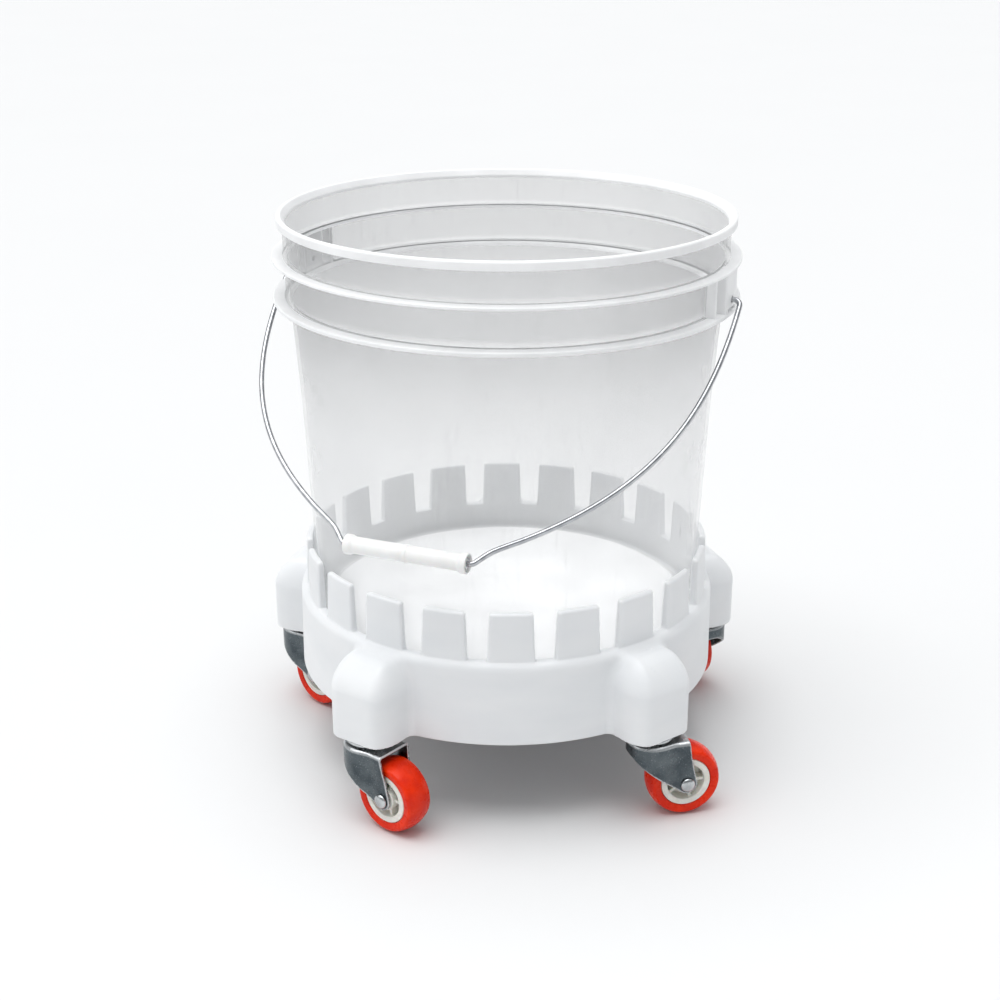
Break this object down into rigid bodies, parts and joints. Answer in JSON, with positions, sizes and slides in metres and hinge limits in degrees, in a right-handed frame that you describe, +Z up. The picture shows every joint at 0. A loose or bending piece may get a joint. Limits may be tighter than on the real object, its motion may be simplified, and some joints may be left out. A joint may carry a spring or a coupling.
{
  "type": "wash bucket on castor dolly",
  "caption": "Clear round pail with a swinging wire bail, standing in a toothed ring dolly on swivel castors with soft treads, for car washing.",
  "frame": {"origin": "on the floor, on the common axis of the pail and the dolly", "axes": "+Z up along that axis, -Y towards the front between the two front castors"},
  "size_m": [0.342, 0.3479, 0.3826],
  "materials": {
    "dolly_plastic": "satin white moulded plastic",
    "clear_pail": "clear natural polypropylene, slightly milky",
    "grip_plastic": "satin white moulded plastic",
    "bail_steel": "bright drawn wire",
    "zinc_plate": "bright zinc plated sheet",
    "fastener_steel": "zinc plated steel",
    "hub_nylon": "natural off-white nylon",
    "tread_urethane": "smooth glossy orange-red urethane"
  },
  "bodies": {
    "dolly": {"dolly_ring": "dolly_plastic", "insert_nut_front_left": "fastener_steel", "stem_front_left": "fastener_steel", "race_cup_front_left": "zinc_plate", "ball_ring_front_left": "fastener_steel", "thrust_washer_front_left": "fastener_steel", "insert_nut_front_right": "fastener_steel", "stem_front_right": "fastener_steel", "race_cup_front_right": "zinc_plate", "ball_ring_front_right": "fastener_steel", "thrust_washer_front_right": "fastener_steel", "insert_nut_right": "fastener_steel", "stem_right": "fastener_steel", "race_cup_right": "zinc_plate", "ball_ring_right": "fastener_steel", "thrust_washer_right": "fastener_steel", "insert_nut_rear": "fastener_steel", "stem_rear": "fastener_steel", "race_cup_rear": "zinc_plate", "ball_ring_rear": "fastener_steel", "thrust_washer_rear": "fastener_steel", "insert_nut_left": "fastener_steel", "stem_left": "fastener_steel", "race_cup_left": "zinc_plate", "ball_ring_left": "fastener_steel", "thrust_washer_left": "fastener_steel"},
    "bucket": {"bucket_shell": "clear_pail"},
    "bail": {"bail_wire": "bail_steel"},
    "grip": {"bail_grip": "grip_plastic"},
    "castor_front_left": {"fork_front_left": "zinc_plate", "axle_rivet_front_left": "zinc_plate", "axle_sleeve_front_left": "fastener_steel"},
    "wheel_front_left": {"wheel_core_front_left": "hub_nylon", "wheel_tread_front_left": "tread_urethane"},
    "castor_front_right": {"fork_front_right": "zinc_plate", "axle_rivet_front_right": "zinc_plate", "axle_sleeve_front_right": "fastener_steel"},
    "wheel_front_right": {"wheel_core_front_right": "hub_nylon", "wheel_tread_front_right": "tread_urethane"},
    "castor_right": {"fork_right": "zinc_plate", "axle_rivet_right": "zinc_plate", "axle_sleeve_right": "fastener_steel"},
    "wheel_right": {"wheel_core_right": "hub_nylon", "wheel_tread_right": "tread_urethane"},
    "castor_rear": {"fork_rear": "zinc_plate", "axle_rivet_rear": "zinc_plate", "axle_sleeve_rear": "fastener_steel"},
    "wheel_rear": {"wheel_core_rear": "hub_nylon", "wheel_tread_rear": "tread_urethane"},
    "castor_left": {"fork_left": "zinc_plate", "axle_rivet_left": "zinc_plate", "axle_sleeve_left": "fastener_steel"},
    "wheel_left": {"wheel_core_left": "hub_nylon", "wheel_tread_left": "tread_urethane"}
  },
  "joints": [
    {"name": "bucket_lift", "type": "slide", "parent": "dolly", "child": "bucket", "axis": [0, 0, 1], "range_m": [0, 0.12]},
    {"name": "bail_swing", "type": "hinge", "parent": "bucket", "child": "bail", "pos_m": [0, 0, 0.3364], "axis": [-0.9171, 0.3987, 0], "range_deg": [-7, 267]},
    {"name": "grip_spin", "type": "hinge", "parent": "bail", "child": "grip", "pos_m": [-0.06509, -0.14971, 0.19942], "axis": [0.9171, -0.3987, 0], "continuous": true},
    {"name": "swivel_front_left", "type": "hinge", "parent": "dolly", "child": "castor_front_left", "pos_m": [-0.09346, -0.12863, 0.0374], "axis": [0, 0, 1], "continuous": true},
    {"name": "roll_front_left", "type": "hinge", "parent": "castor_front_left", "child": "wheel_front_left", "pos_m": [-0.07685, -0.14307, 0.025], "axis": [0.6561, 0.7547, 0], "continuous": true},
    {"name": "swivel_front_right", "type": "hinge", "parent": "dolly", "child": "castor_front_right", "pos_m": [0.09346, -0.12863, 0.0374], "axis": [0, 0, 1], "continuous": true},
    {"name": "roll_front_right", "type": "hinge", "parent": "castor_front_right", "child": "wheel_front_right", "pos_m": [0.11498, -0.12406, 0.025], "axis": [-0.2079, 0.9781, 0], "continuous": true},
    {"name": "swivel_right", "type": "hinge", "parent": "dolly", "child": "castor_right", "pos_m": [0.15122, 0.04913, 0.0374], "axis": [0, 0, 1], "continuous": true},
    {"name": "roll_right", "type": "hinge", "parent": "castor_right", "child": "wheel_right", "pos_m": [0.14227, 0.06923, 0.025], "axis": [-0.9135, -0.4067, 0], "continuous": true},
    {"name": "swivel_rear", "type": "hinge", "parent": "dolly", "child": "castor_rear", "pos_m": [0, 0.159, 0.0374], "axis": [0, 0, 1], "continuous": true},
    {"name": "roll_rear", "type": "hinge", "parent": "castor_rear", "child": "wheel_rear", "pos_m": [-0.01905, 0.148, 0.025], "axis": [0.5, -0.866, 0], "continuous": true},
    {"name": "swivel_left", "type": "hinge", "parent": "dolly", "child": "castor_left", "pos_m": [-0.15122, 0.04913, 0.0374], "axis": [0, 0, 1], "continuous": true},
    {"name": "roll_left", "type": "hinge", "parent": "castor_left", "child": "wheel_left", "pos_m": [-0.13566, 0.03358, 0.025], "axis": [0.7071, 0.7071, 0], "continuous": true}
  ]
}
